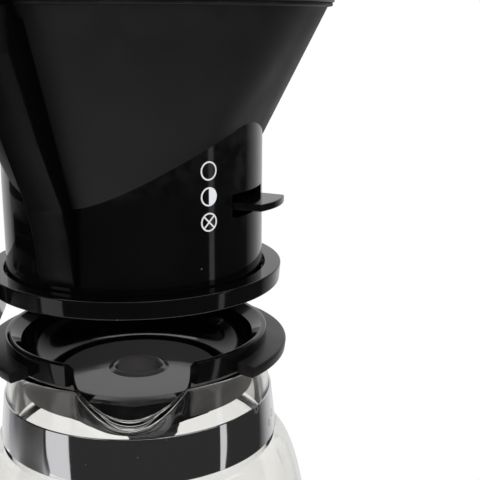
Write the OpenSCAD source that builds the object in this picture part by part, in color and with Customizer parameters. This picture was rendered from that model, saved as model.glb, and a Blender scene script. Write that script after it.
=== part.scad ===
// Drip coffee maker: a metal base with a hot plate, a tower that carries the water reservoir,
// a filter basket with a drip-stop lever in a ring holder, and a glass carafe with a hinged lid.
// Millimetres. Z is up, the front is -Y, and the origin lies on the table under the middle of
// the whole footprint, which includes the carafe's handle at the back.

/* [Base] */
// Length of the base, left to right
base_l = 310; // [290:1:400]
// Depth of the base, front to back
base_w = 164; // [140:1:220]
// Height of the base housing
base_h = 36; // [30:1:60]
// Corner radius of the base
base_r = 14; // [8:1:24]
// Wall thickness of the base housing
base_wall = 2; // [1.5:0.5:3]
// Height of the rubber feet
foot_h = 4; // [3:0.5:10]
// Radius of the rubber feet
foot_r = 9; // [8:0.5:12]
// Distance of the feet and cover screws from the base's edges
foot_inset = 20; // [18:1:30]

/* [Hot plate] */
// Radius of the hot plate
plate_r = 60; // [50:1:64]
// Thickness of the hot plate
plate_t = 3; // [2:0.5:5]
// Height of the hot plate's top above the base
plate_rise = 5; // [4:0.5:10]
// Distance from the base's right end to the brewing axis
brew_inset = 75; // [72:1:95]

/* [Tower] */
// Width of the tower, left to right
tower_w = 108; // [95:1:120]
// Depth of the tower, front to back
tower_d = 116; // [100:1:135]
// Corner radius of the tower and reservoir
tower_r = 10; // [7:1:16]
// Wall thickness of the tower shell
tower_wall = 1.5; // [1:0.5:3]
// Distance from the base's left end to the tower
tower_inset = 12; // [10:1:30]
// Height of the tower's top above the basket holder
tower_over = 10; // [8:1:30]
// Thickness of the cap between tower and reservoir
cap_t = 6; // [5:0.5:10]

/* [Water] */
// Height of the reservoir
tank_h = 100; // [95:1:140]
// Wall thickness of the reservoir
tank_wall = 2.5; // [2:0.5:4]
// Thickness of the reservoir cover and its filling flap
cover_t = 3; // [2.5:0.5:5]
// Outer radius of the riser tube
riser_r = 5; // [4:0.5:6]
// Wall thickness of the riser tube
riser_wall = 1; // [0.5:0.25:1.5]
// Outer radius of the outlet arm
arm_r = 6; // [5:0.5:7]
// Radius of the boiler tube
boiler_r = 12; // [10:0.5:16]
// Length of the boiler tube
boiler_h = 90; // [60:1:110]
// Radius of the spray head
spray_r = 17; // [12:0.5:20]

/* [Basket holder] */
// Outer radius of the holder ring
ring_r = 52; // [50:0.5:60]
// Height of the holder ring
ring_h = 6.2; // [5:0.1:10]
// Half width of the arm between ring and tower
arm_half_w = 22; // [15:1:30]
// Depth of the arm below the ring's top
arm_drop = 15; // [10:0.5:16]
// Free height between the holder ring and the carafe's lid
carafe_gap = 17.9; // [16:0.1:40]

/* [Filter basket] */
// Outer radius of the basket's round skirt
skirt_r = 45.2; // [40:0.1:48]
// Wall thickness of the basket
basket_wall = 2.2; // [1.6:0.1:3]
// Radius of the basket at its top
rim_r = 67.4; // [60:0.1:75]
// Height of the basket's top above the holder
rim_z = 89; // [80:1:110]
// Radius of the ends of the basket's slot-shaped bottom
slot_r = 15.5; // [12:0.5:18]
// Distance of those ends from the basket's axis
slot_d = 20.3; // [15:0.1:24]
// Height of the seam between cone and skirt where it is highest
seam_top = 53; // [45:1:60]
// Turn of the basket's handle from the front
basket_turn = -32; // [-60:1:0]
// Width of the basket's handle
grip_w = 13.6; // [10:0.1:20]

/* [Drip stop] */
// Turn of the drip-stop lever from the front
lever_turn = 58.7; // [50:0.1:66]
// Height of the lever's thumb plate above the holder ring
lever_z = 23.6; // [20:0.1:30]
// Thickness of the lever
lever_t = 2.4; // [2:0.1:4]
// Reach of the thumb plate from the basket's axis
lever_reach = 55; // [52:0.1:60]
// Distance of the lever's pivot inside the basket's skirt
pivot_inset = 15.2; // [12:0.1:20]
// Largest tilt of the lever each way
lever_tilt = 1.8; // [1:0.1:2]
// Turn of the flow marks from the front
mark_turn = 31; // [25:0.1:36]
// Outer radius of a flow mark
mark_r = 3.05; // [2:0.05:4]
// Height of the middle flow mark above the holder ring
mark_z = 29.6; // [26:0.1:32]
// Distance between flow marks
mark_gap = 8.2; // [7:0.1:9]

/* [Carafe] */
// Height of the carafe's glass
glass_h = 146.3; // [130:0.1:170]
// Wall thickness of the glass
glass_wall = 2.2; // [1.6:0.1:3]
// Largest radius of the glass
belly_r = 64; // [56:0.5:66]
// Height of the largest radius
belly_z = 54; // [44:1:64]
// Height of the shoulder's top, where the neck starts
neck_z = 114; // [105:0.5:120]
// Radius of the neck at its foot
neck_foot_r = 49.4; // [46:0.1:50]
// Radius of the neck at the rim
neck_r = 46.6; // [44:0.1:48]
// Radius of the corner at the glass's bottom
corner_r = 12; // [8:1:16]
// Turn of the spout from the front
carafe_turn = -3.5; // [-20:0.5:20]
// Reach of the spout beyond the neck
spout_reach = 9; // [6:0.5:12]
// Dip of the glass's rim at the spout
spout_dip = 4; // [2:0.5:5]
// Height of the metal band round the neck
band_h = 15; // [12:0.1:18]
// Thickness of the metal band
band_t = 0.6; // [0.4:0.1:1]
// Width of the carafe's handle
handle_w = 22; // [18:1:28]
// Reach of the carafe's handle from the axis
handle_reach = 102; // [95:1:115]
// Outer radius of the carafe's lid
lid_r = 54.3; // [52:0.1:57]
// Thickness of the lid's flange
lid_t = 4; // [3.5:0.1:6]
// Radius of the hole in the lid
lid_hole_r = 8; // [5:0.5:10]

/* [Switches] */
// Width of a rocker switch
rocker_w = 12; // [10:0.5:16]
// Height of a rocker switch
rocker_h = 20; // [16:0.5:22]
// Tilt of a rocker at rest
rocker_tilt = 8; // [5:1:10]
// Distance between the two switches
switch_gap = 34; // [26:1:40]

/* [Clearances] */
// Radial clearance of a running fit
run = 0.05; // [0.01:0.01:0.1]
// Gap between pieces that lift apart
lift_gap = 0.4; // [0.3:0.1:1]
// Gap between fixed pieces that are fitted together
fit_gap = 0.1; // [0.05:0.05:0.3]
// Radial gap between basket and holder ring
seat_gap = 1; // [0.5:0.1:2]

/* [Hidden] */
$fn = 96;
HULL_FN = 48;
CUT = 1;
SLICE = 0.01;

// Pins and screws
PIN_R = 1.5;
SCREW_R = 1.6;
SCREW_HEAD_R = 3.2;
SCREW_HEAD_T = 2;
screw_hole_r = SCREW_R + fit_gap;
screw_sink_r = SCREW_HEAD_R + fit_gap;

// Overall places
front_reach = base_w / 2 + 3;
mid_y = (front_reach - handle_reach) / 2;
base_z = foot_h;
base_top = base_z + base_h;
plate_top = base_top + plate_rise;
brew_x = base_l / 2 - brew_inset;
tower_x = -base_l / 2 + tower_inset + tower_w / 2;
tower_face = tower_x + tower_w / 2;
arm_l = brew_x - tower_x;

// Heights, from the hot plate up
lid_rise = 8.8;
glass_top = plate_top + glass_h;
lid_top = glass_top + lid_rise;
ring_top = lid_top + carafe_gap + ring_h;
tower_top = ring_top + tower_over;
tank_z = tower_top + cap_t;
tank_top = tank_z + tank_h;
cover_top = tank_top + cover_t;
arm_z = cover_top + arm_r + 1;

// Base
bottom_t = 2;
post_r = 5;
screw_l = 14;
switch_z = base_z + base_h / 2;
base_back = mid_y + base_w / 2;
base_front = mid_y - base_w / 2;

// Hot plate
ring_lip = 3;
ring_step = plate_rise - plate_t;
hub_r = plate_r - 8;
hub_h = plate_rise + 6;
hub_wall = 2;
heater_wire_r = 3;
heater_r = plate_r / 2 + 5;
thermostat_r = 9;
thermostat_h = 8;

// Switches and gland
gland_r = 6;
gland_bore_r = 3.4;
gland_in = 8;
gland_out = 5;
bezel_t = 1.6;
bezel_lip = 3.5;
bezel_wall = 1.8;
bezel_in = 8.4;
rocker_pivot_y = 2.2;
rocker_edge = 4.4;
rocker_dip = 3.2;
rocker_back = 2;
rocker_taper = 0.4;

// Tower
cap_lip = 5;
shell_r = tower_r - tower_wall;
holder_screw_y = arm_half_w + SCREW_HEAD_R + 1;
flange_w = 2 * (holder_screw_y + 9);
flange_h = 34;
flange_t = 4;
flange_z = ring_top - 14;

// Water path
hose_r = 5;
hose_wall = 1.5;
barb_r = hose_r - hose_wall - fit_gap;
barb_l = 8;
valve_r = 8;
valve_h = 22;
valve_bore = 2.5;
spigot_r = 5;
outlet_x = tower_x - 30;
boiler_z = base_top + 50;
boiler_top = boiler_z + boiler_h;
boiler_bore = 5;
boiler_end = 4;
hose_drop = 12;
hose_overlap = 14;
coil_wire_r = 2;
coil_pitch = 8;
coil_margin = 12;
clamp_t = 5;

// Reservoir and its cover
tank_w = tower_w - 4;
tank_d = tower_d - 4;
tank_r = tower_r - 2;
tank_floor = tank_wall + 0.5;
gasket_r = riser_r + 3;
gasket_h = 6;
lip_h = 4;
lip_t = 1.9;
flap_x = tower_x - riser_r - 13;
flap_l = flap_x - (tower_x - tank_w / 2) - 6;
flap_w = tank_d - 24;
flap_t = cover_t - 1;
flap_edge = 4;
pin_z = cover_top + 2.5;
knuckle_r = 2.5;
knuckle_l = 12;
knuckle_gap = 1;

// Outlet arm
socket_r = 9;
head_drop = 14;
head_t = 4;
spray_hole_r = 1.2;
spray_holes = 8;

// Basket holder
ring_hole_r = skirt_r + seat_gap;
ledge_t = 2;
ledge_r = skirt_r - 3.7;
ring_taper = 0.5;
arm_top = 3.5;
arm_wall = 3;

// Filter basket
rim_lip = 1;
rim_lip_h = 3;
skirt_low = ledge_t - ring_h;
nozzle_r = 8;
nozzle_h = 7;
nozzle_bore = 5.5;
seat_hole_r = 3;
seat_t = 3;

// Drip stop
lever_w = 8;
leg_share = 0.53;
lever_cone_r = cone_half(lever_z + lever_t, 0);
leg_r = lever_cone_r + leg_share * (skirt_r - basket_wall - lever_cone_r);
pivot_d = skirt_r - pivot_inset;
leg_w = 10;
leg_t = 3;
eye_r = 12;
eye_bore = 9;
plate_arc_r = 27;
plate_root_w = 21.4;
plate_tip_w = 19.4;
ear_t = 3;
ear_r = 3.4;
ear_z = -10.8;
bridge_t = 3;
bridge_w = 20;
stem_r = 1.4;
collar_r = 2.5;
collar_gap = 0.3;
lever_low = ear_z - lever_t / 2;
valve_stroke = pivot_d * sin(lever_tilt);
mark_line = 0.5;
mark_t = 0.12;

// Basket lid
basket_lid_t = 3;
tab_w = 18;
tab_l = 9;

// Carafe
ARC_STEPS = 6;
SHOULDER_STEPS = 14;
SIDE_STEPS = 4;
foot_side_r = belly_r - 2;
band_low = neck_z + 3;
band_high = band_low + band_h;
band_mid = band_low + band_h / 2;
spout_half_angle = 37;
spout_side = 22;
spout_nose = 5;
spout_lean = atan((spout_reach + 1) / (glass_h - band_high));
screw_grip = 12;
hinge_y = lid_r + 6;
hinge_z = glass_h + 4;
hinge_ear_r = 4;
hinge_ear_t = 4;
lid_knuckle_r = 3.4;
lid_knuckle_w = handle_w - 2 * hinge_ear_t - 1.2;
lid_seat = 0.6;
dish_r = neck_r - glass_wall - 0.8;
dish_wall = 1.8;
dish_t = 1.5;
dish_floor_z = glass_h - 9.8;
dish_flat_r = 30;
DISH_STEPS = 6;
hole_tube = 6;
hole_lip_h = 0.7;
hole_lip = 2.4;
spout_opening = 29;
flange_opening = 47;

// ---------- shared shapes ----------

// Rectangle with round corners, centred
module rounded_rect(l, w, r) {
  square([l - 2 * r, w], center = true);
  square([l, w - 2 * r], center = true);
  for (sx = [-1, 1], sy = [-1, 1])
    translate([sx * (l / 2 - r), sy * (w / 2 - r)]) circle(r);
}

// Upright block with round corners
module rounded_block(l, w, h, r) {
  linear_extrude(h) rounded_rect(l, w, r);
}

// Upright tube
module tube(r_out, r_in, h) {
  difference() {
    cylinder(r = r_out, h = h);
    translate([0, 0, -CUT]) cylinder(r = r_in, h = h + 2 * CUT);
  }
}

// Bar with its axis along X, centred
module x_rod(r, l) {
  rotate([0, 90, 0]) cylinder(r = r, h = l, center = true);
}

// Bar with its axis along Y, centred
module y_rod(r, l) {
  rotate([90, 0, 0]) cylinder(r = r, h = l, center = true);
}

// Wedge that opens towards the front by half_angle each way
module front_wedge(half_angle, r, h) {
  reach = r / cos(half_angle);
  linear_extrude(h)
    polygon([[0, 0], [-reach * sin(half_angle), -reach * cos(half_angle)],
             [reach * sin(half_angle), -reach * cos(half_angle)]]);
}

// Places children on the brewing axis, with z = 0 at the holder ring's top
module at_brew(turn) {
  translate([brew_x, mid_y, ring_top]) rotate([0, 0, turn]) children();
}

// Places children on the brewing axis, with z = 0 on the hot plate
module at_plate(turn) {
  translate([brew_x, mid_y, plate_top]) rotate([0, 0, turn]) children();
}

// Places children on the tower's axis
module at_tower(z) {
  translate([tower_x, mid_y, z]) children();
}

// The four places of feet and cover screws
function corner(i) = [
  (i % 2 == 0 ? -1 : 1) * (base_l / 2 - foot_inset),
  mid_y + (i < 2 ? -1 : 1) * (base_w / 2 - foot_inset)
];

module at_corner(i, z) {
  translate([corner(i)[0], corner(i)[1], z]) children();
}

// ---------- base ----------

module base_housing() {
  color("silver") difference() {
    union() {
      translate([0, mid_y, base_z]) difference() {
        rounded_block(base_l, base_w, base_h, base_r);
        translate([0, 0, -CUT])
          rounded_block(base_l - 2 * base_wall, base_w - 2 * base_wall,
                        base_h - base_wall + CUT, base_r - base_wall);
      }
      for (i = [0:3]) at_corner(i, base_z + bottom_t)
        cylinder(r = post_r, h = base_h - bottom_t - base_wall / 2);
    }
    for (i = [0:3]) at_corner(i, base_z) cylinder(r = screw_hole_r, h = base_h / 2);
    // opening under the hot plate
    translate([brew_x, mid_y, base_top - base_h / 2]) cylinder(r = plate_r - 4, h = base_h);
    // opening under the tower
    at_tower(base_top - base_h / 2)
      rounded_block(tower_w - 40, tower_d - 40, base_h, tower_r / 2);
    for (i = [0:1]) switch_place(i)
      cube([rocker_w + 4, 4 * base_wall, rocker_h + 4], center = true);
    translate([tower_x, base_back, switch_z]) y_rod(gland_r, 4 * base_wall);
  }
}

module bottom_cover() {
  inset = base_wall + fit_gap;
  color("dimgray") difference() {
    translate([0, mid_y, base_z])
      rounded_block(base_l - 2 * inset, base_w - 2 * inset, bottom_t, base_r - inset);
    for (i = [0:3]) at_corner(i, 0) cylinder(r = screw_hole_r, h = 2 * base_z + bottom_t);
  }
}

module foot(i) {
  color("black") at_corner(i, 0) difference() {
    cylinder(r1 = foot_r - 1, r2 = foot_r, h = foot_h);
    translate([0, 0, -CUT]) cylinder(r = screw_sink_r, h = foot_h / 2 + CUT);
    cylinder(r = screw_hole_r, h = foot_h + CUT);
  }
}

module cover_screws() {
  head_t = foot_h / 2 - 0.6;
  color("silver") for (i = [0:3]) at_corner(i, foot_h / 2) {
    translate([0, 0, -head_t]) cylinder(r = SCREW_HEAD_R, h = head_t);
    cylinder(r = SCREW_R, h = foot_h / 2 + screw_l);
  }
}

// ---------- hot plate ----------

module hot_plate() {
  color("#2a2a2c") translate([brew_x, mid_y, plate_top]) difference() {
    union() {
      translate([0, 0, -plate_t]) cylinder(r = plate_r, h = plate_t);
      translate([0, 0, -hub_h]) cylinder(r = hub_r, h = hub_h);
    }
    translate([0, 0, -hub_h - CUT]) cylinder(r = hub_r - hub_wall, h = hub_h - plate_t + CUT);
  }
}

module plate_ring() {
  low = ring_step - fit_gap;
  high = ring_step + 1;
  color("silver") translate([brew_x, mid_y, base_top]) rotate_extrude() polygon([
    [hub_r + fit_gap, 0], [plate_r + ring_lip + 2, 0], [plate_r + ring_lip, high],
    [plate_r + fit_gap, high], [plate_r + fit_gap, low], [hub_r + fit_gap, low]
  ]);
}

module plate_heater() {
  color("gray") translate([brew_x, mid_y, plate_top - plate_t - heater_wire_r - fit_gap])
    rotate_extrude() translate([heater_r, 0]) circle(heater_wire_r);
}

module plate_thermostat() {
  color("beige") translate([brew_x, mid_y, plate_top - plate_t - thermostat_h])
    cylinder(r = thermostat_r, h = thermostat_h - fit_gap);
}

// ---------- switches and gland ----------

module switch_place(i) {
  translate([tower_x + (i - 0.5) * switch_gap, base_front, switch_z]) children();
}

module switch_bezel(i) {
  color("black") switch_place(i) difference() {
    union() {
      translate([0, -bezel_t / 2, 0])
        cube([rocker_w + 2 * bezel_lip, bezel_t, rocker_h + 2 * bezel_lip], center = true);
      translate([0, (bezel_in - bezel_t) / 2, 0])
        cube([rocker_w + 2 * bezel_wall, bezel_in + bezel_t, rocker_h + 2 * bezel_wall], center = true);
    }
    cube([rocker_w + 2 * lift_gap, 4 * bezel_in, rocker_h + 2 * lift_gap], center = true);
    translate([0, rocker_pivot_y, 0]) x_rod(PIN_R + run, rocker_w + 4 * bezel_wall);
  }
}

// The rocker's face is two flats that meet on its pivot's level
module rocker(i) {
  back = rocker_h / 2 - 3 * rocker_taper;
  front = rocker_h / 2 - 2 * rocker_taper;
  color("black") switch_place(i) translate([0, rocker_pivot_y, 0]) {
    rotate([rocker_tilt, 0, 0]) rotate([0, 90, 0]) linear_extrude(rocker_w, center = true)
      polygon([[-back, rocker_back], [-front, -rocker_edge], [0, -rocker_dip],
               [front, -rocker_edge], [back, rocker_back]]);
    x_rod(PIN_R, rocker_w + 2 * bezel_wall - fit_gap);
  }
}

module cable_gland() {
  color("black") translate([tower_x, base_back, switch_z]) rotate([-90, 0, 0]) difference() {
    union() {
      translate([0, 0, -gland_in]) cylinder(r = gland_r - fit_gap, h = gland_in);
      cylinder(r = gland_r + 3, h = gland_out);
    }
    translate([0, 0, -gland_in - CUT]) cylinder(r = gland_bore_r, h = gland_in + gland_out + 2 * CUT);
  }
}

// ---------- tower ----------

module holder_screw_places() {
  for (s = [-1, 1]) translate([tower_face, mid_y + s * holder_screw_y, flange_z]) rotate([0, 90, 0])
    children();
}

module tower_shell() {
  h = tower_top - base_top;
  color("silver") difference() {
    at_tower(base_top) rounded_block(tower_w, tower_d, h, tower_r);
    at_tower(base_top - CUT)
      rounded_block(tower_w - 2 * tower_wall, tower_d - 2 * tower_wall, h + 2 * CUT, shell_r);
    holder_screw_places() cylinder(r = screw_hole_r, h = 4 * tower_wall, center = true);
  }
}

module tower_cap() {
  lip_inset = tower_wall + fit_gap;
  color("#202022") difference() {
    union() {
      at_tower(tower_top) rounded_block(tower_w, tower_d, cap_t, tower_r);
      at_tower(tower_top - cap_lip)
        rounded_block(tower_w - 2 * lip_inset, tower_d - 2 * lip_inset, cap_lip, tower_r - lip_inset);
    }
    at_tower(tower_top - 2 * cap_lip) cylinder(r = riser_r + fit_gap, h = cap_t + 4 * cap_lip);
    translate([outlet_x, mid_y, tower_top - 2 * cap_lip])
      cylinder(r = spigot_r + fit_gap, h = cap_t + 4 * cap_lip);
  }
}

// ---------- water path ----------

module check_valve() {
  z = tower_top - cap_lip;
  color("white") translate([outlet_x, mid_y, 0]) {
    translate([0, 0, z - valve_h]) tube(valve_r, valve_bore, valve_h);
    translate([0, 0, z]) tube(spigot_r, valve_bore, cap_t + cap_lip);
    translate([0, 0, z - valve_h - barb_l]) tube(barb_r, barb_r - 1.4, barb_l);
  }
}

module inlet_hose() {
  bend_r = (tower_x - outlet_x) / 2;
  bend_z = boiler_z - hose_drop;
  hose_top = tower_top - cap_lip - valve_h - fit_gap;
  color("whitesmoke") {
    translate([outlet_x, mid_y, bend_z]) tube(hose_r, hose_r - hose_wall, hose_top - bend_z);
    translate([outlet_x + bend_r, mid_y, bend_z]) rotate([90, 0, 0]) rotate([0, 0, 180])
      rotate_extrude(angle = 180) translate([bend_r, 0]) difference() {
        circle(hose_r);
        circle(hose_r - hose_wall);
      }
    at_tower(bend_z) tube(hose_r, hose_r - hose_wall, hose_drop - fit_gap);
  }
}

module boiler() {
  color("lightgray") {
    at_tower(boiler_z) tube(boiler_r, boiler_bore, boiler_h);
    for (z = [boiler_z - barb_l, boiler_top - CUT]) at_tower(z)
      tube(barb_r, barb_r - 1.4, barb_l + CUT);
    for (z = [boiler_z, boiler_top - boiler_end]) at_tower(z)
      tube(boiler_bore + 1, barb_r - 1.4, boiler_end);
  }
}

module heater_coil() {
  turns = floor((boiler_h - coil_margin - coil_pitch) / coil_pitch);
  color("darkgray") for (i = [0:turns - 1]) at_tower(boiler_z + coil_margin + coil_pitch * i)
    rotate_extrude() translate([boiler_r + coil_wire_r + fit_gap, 0]) circle(coil_wire_r);
}

module boiler_thermostat() {
  color("beige") at_tower(boiler_top - clamp_t - 1) tube(boiler_r + clamp_t, boiler_r + fit_gap, clamp_t);
}

module riser_hose() {
  h = tower_top - cap_lip - boiler_top - 2 * fit_gap;
  color("whitesmoke") at_tower(boiler_top + fit_gap) difference() {
    cylinder(r = riser_r + fit_gap + hose_wall, h = h);
    translate([0, 0, -CUT]) cylinder(r = hose_r - hose_wall, h = h + 2 * CUT);
    translate([0, 0, hose_overlap]) cylinder(r = riser_r + fit_gap, h = h);
  }
}

module riser_tube() {
  foot_z = boiler_top + hose_overlap + 1;
  color("lightblue", 0.5) at_tower(foot_z) tube(riser_r, riser_r - riser_wall, arm_z - foot_z);
}

// ---------- reservoir ----------

module reservoir() {
  color("lightcyan", 0.4) difference() {
    at_tower(tank_z) rounded_block(tank_w, tank_d, tank_h, tank_r);
    at_tower(tank_z + tank_floor)
      rounded_block(tank_w - 2 * tank_wall, tank_d - 2 * tank_wall, tank_h, tank_r - tank_wall);
    at_tower(tank_z - CUT) cylinder(r = gasket_r, h = 3 * tank_floor);
    translate([outlet_x, mid_y, tank_z - CUT]) cylinder(r = spigot_r, h = 3 * tank_floor);
  }
}

module reservoir_gasket() {
  color("black") at_tower(tank_z + fit_gap) difference() {
    union() {
      cylinder(r = gasket_r - fit_gap, h = gasket_h);
      translate([0, 0, tank_floor]) cylinder(r = gasket_r + 2, h = gasket_h / 2);
    }
    translate([0, 0, -CUT]) cylinder(r = riser_r + fit_gap / 2, h = 2 * gasket_h);
  }
}

module reservoir_cover() {
  lip_inset = tank_wall + fit_gap;
  lip_r = tank_r - lip_inset;
  color("#202022") difference() {
    union() {
      at_tower(tank_top) rounded_block(tower_w, tower_d, cover_t, tower_r);
      at_tower(tank_top - lip_h) difference() {
        rounded_block(tank_w - 2 * lip_inset, tank_d - 2 * lip_inset, lip_h, lip_r);
        translate([0, 0, -CUT])
          rounded_block(tank_w - 2 * (lip_inset + lip_t), tank_d - 2 * (lip_inset + lip_t),
                        lip_h + 2 * CUT, lip_r - lip_t);
      }
      for (s = [-1, 1]) translate([flap_x, mid_y + s * (flap_w - knuckle_l) / 2, pin_z]) {
        y_rod(knuckle_r, knuckle_l);
        translate([1.5, 0, -knuckle_r]) cube([3, knuckle_l, 2 * knuckle_r], center = true);
      }
    }
    // filling mouth under the flap
    translate([flap_x - (flap_l + lift_gap) / 2, mid_y, tank_top - 2 * lip_h])
      linear_extrude(4 * lip_h) square([flap_l - 2 * flap_edge, flap_w - 2 * flap_edge], center = true);
    translate([flap_x, mid_y, pin_z]) y_rod(PIN_R, flap_w + 4);
    at_tower(tank_top - 2 * lip_h) cylinder(r = riser_r + 1, h = 4 * lip_h);
  }
}

module fill_flap() {
  barrel_l = flap_w - 2 * (knuckle_l + knuckle_gap);
  z = cover_top + lift_gap;
  color("#2c2c2e") difference() {
    union() {
      translate([flap_x - flap_l, mid_y - flap_w / 2, z])
        cube([flap_l - knuckle_r - knuckle_gap, flap_w, flap_t]);
      translate([flap_x, mid_y, pin_z]) y_rod(knuckle_r, barrel_l);
      translate([flap_x - knuckle_r - 2, mid_y - barrel_l / 2, z]) cube([knuckle_r + 2, barrel_l, flap_t]);
      // finger tab
      translate([flap_x - flap_l - 3, mid_y - 10, z]) cube([4, 20, flap_t]);
    }
    translate([flap_x, mid_y, pin_z]) y_rod(PIN_R + run, flap_w);
  }
}

module flap_pin() {
  color("silver") translate([flap_x, mid_y, pin_z]) y_rod(PIN_R, flap_w);
}

// ---------- outlet arm ----------

module outlet_arm() {
  color("#202022") difference() {
    union() {
      at_tower(cover_top + lift_gap) cylinder(r = socket_r, h = arm_z + arm_r - cover_top);
      translate([tower_x + arm_l / 2, mid_y, arm_z]) x_rod(arm_r, arm_l);
      translate([brew_x, mid_y, arm_z - head_drop + head_t])
        cylinder(r = arm_r + 2, h = head_drop - head_t + arm_r);
    }
    at_tower(cover_top - CUT) cylinder(r = riser_r + run, h = arm_z - cover_top + 1.5 * CUT);
    translate([tower_x + arm_l / 2, mid_y, arm_z]) x_rod(riser_r - riser_wall, arm_l);
    translate([brew_x, mid_y, arm_z - head_drop]) cylinder(r = riser_r, h = head_drop);
  }
}

module spray_head() {
  color("#202022") translate([brew_x, mid_y, arm_z - head_drop]) difference() {
    union() {
      cylinder(r = spray_r, h = head_t - fit_gap);
      cylinder(r = riser_r - fit_gap, h = 2 * head_t);
    }
    translate([0, 0, 1.5]) cylinder(r = riser_r - riser_wall, h = 3 * head_t);
    translate([0, 0, 1.5]) cylinder(r = spray_r - 2, h = 1.2);
    for (i = [0:spray_holes - 1]) rotate([0, 0, 360 / spray_holes * i])
      translate([spray_r - 5, 0, -CUT]) cylinder(r = spray_hole_r, h = head_t - CUT);
    translate([0, 0, -CUT]) cylinder(r = spray_hole_r, h = head_t);
  }
}

// ---------- basket holder ----------

module basket_holder() {
  arm_x = tower_face - brew_x;
  hollow_l = -arm_x - ring_r - 3;
  color("black") difference() {
    union() {
      at_brew(0) translate([0, 0, -ring_h]) cylinder(r1 = ring_r - ring_taper, r2 = ring_r, h = ring_h);
      at_brew(0) translate([arm_x, -arm_half_w, -arm_drop])
        cube([-arm_x - ring_r + 6, 2 * arm_half_w, arm_drop - arm_top]);
      translate([tower_face, mid_y - flange_w / 2, flange_z - flange_h / 2])
        cube([flange_t, flange_w, flange_h]);
    }
    at_brew(0) translate([0, 0, -ring_h + ledge_t]) cylinder(r = ring_hole_r, h = 2 * arm_drop);
    at_brew(0) translate([0, 0, -2 * arm_drop]) cylinder(r = ledge_r, h = 4 * arm_drop);
    at_brew(0) translate([0, 0, -ring_h - 2 * arm_drop]) cylinder(r = ring_hole_r, h = 2 * arm_drop);
    // hollow underside of the arm
    at_brew(0) translate([arm_x + flange_t + 2, -arm_half_w + arm_wall, -arm_drop - CUT])
      cube([hollow_l, 2 * (arm_half_w - arm_wall), arm_drop - arm_top - arm_wall + CUT]);
    holder_screw_places() cylinder(r = screw_hole_r, h = 4 * flange_t, center = true);
  }
}

module holder_screws() {
  color("silver") holder_screw_places() {
    translate([0, 0, flange_t]) cylinder(r = SCREW_HEAD_R, h = SCREW_HEAD_T);
    translate([0, 0, -6]) cylinder(r = SCREW_R, h = flange_t + 7);
  }
}

// ---------- filter basket ----------

// Half width of the basket's cone across (0) or along (1) its slot, at height z
function cone_half(z, along) =
  let (t = z / rim_z) t * rim_r + (1 - t) * (slot_r + along * slot_d);

// Wedge-shaped cone: a round top that runs down to a slot
module cone_body(inset, z_low, z_high) {
  hull() {
    translate([0, 0, z_high - SLICE]) cylinder(r = rim_r - inset, h = SLICE, $fn = 2 * HULL_FN);
    for (s = [-1, 1]) translate([0, s * slot_d, z_low])
      cylinder(r = slot_r - inset, h = SLICE, $fn = HULL_FN);
  }
}

module basket_cone() {
  color("#262425") at_brew(basket_turn) difference() {
    union() {
      cone_body(0, 0, rim_z);
      translate([0, 0, rim_z - rim_lip_h]) cylinder(r = rim_r + rim_lip, h = rim_lip_h);
    }
    cone_body(basket_wall, basket_wall, rim_z + fit_gap);
    translate([0, 0, -CUT]) cylinder(r = nozzle_r + fit_gap, h = 4 * basket_wall);
  }
}

module lever_slot() {
  travel = (skirt_r + pivot_d) * sin(lever_tilt) + lift_gap;
  slot_w = plate_root_w + 2;
  rotate([0, 0, lever_turn - basket_turn]) translate([-slot_w / 2, -skirt_r - 10, lever_z - travel])
    cube([slot_w, 30, lever_t + 2 * travel]);
}

module basket_skirt() {
  color("#0c0c0d") at_brew(basket_turn) difference() {
    translate([0, 0, skirt_low]) tube(skirt_r, skirt_r - basket_wall, seam_top - skirt_low);
    cone_body(-fit_gap, 0, rim_z);
    lever_slot();
  }
}

// Outline of the handle in its own upright plane: distance from the axis, height
module handle_outline() {
  gap = rim_lip + fit_gap;
  polygon([
    [skirt_r + fit_gap, 2], [skirt_r + 1.6, 2], [skirt_r + 4, 18], [skirt_r + 6, 26],
    [cone_half(32, 1) + 8, 32], [cone_half(76, 1) + 9, 76], [rim_r + 5.4, rim_z - 0.5],
    [rim_r + gap, rim_z - 0.5], [rim_r + gap, rim_z - rim_lip_h - 1],
    [cone_half(rim_z - 4, 1) + 0.5, rim_z - rim_lip_h - 1], [cone_half(28, 1) + 0.9, 28],
    [skirt_r + fit_gap, 26]
  ]);
}

module basket_handle() {
  color("#1a1a1b") at_brew(basket_turn) difference() {
    rotate([90, 0, -90]) linear_extrude(grip_w, center = true) handle_outline();
    cone_body(-fit_gap, 0, rim_z);
  }
}

module basket_outlet() {
  color("#0c0c0d") at_brew(0) difference() {
    translate([0, 0, -nozzle_h]) cylinder(r = nozzle_r, h = nozzle_h + basket_wall);
    translate([0, 0, -nozzle_h + seat_t]) cylinder(r = nozzle_bore, h = 2 * nozzle_h);
    translate([0, 0, -nozzle_h - CUT]) cylinder(r = seat_hole_r, h = 2 * nozzle_h);
  }
}

// ---------- drip stop ----------

// Bridge across the skirt's foot with two ears for the lever's pin
module lever_bracket() {
  ear_foot = skirt_low + 1;
  color("#141415") at_brew(lever_turn) difference() {
    union() {
      intersection() {
        translate([-bridge_w / 2, pivot_d - 5, skirt_low]) cube([bridge_w, skirt_r, bridge_t]);
        translate([0, 0, skirt_low]) cylinder(r = skirt_r - basket_wall - fit_gap, h = bridge_t);
      }
      for (s = [-1, 1]) translate([s * (lever_w / 2 + lift_gap + ear_t / 2), pivot_d, 0]) {
        translate([0, 0, ear_z]) x_rod(ear_r, ear_t);
        translate([0, 0, (ear_z + ear_foot) / 2]) cube([ear_t, 2 * ear_r, ear_foot - ear_z], center = true);
      }
    }
    translate([0, pivot_d, ear_z]) x_rod(PIN_R, 2 * bridge_w);
  }
}

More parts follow.
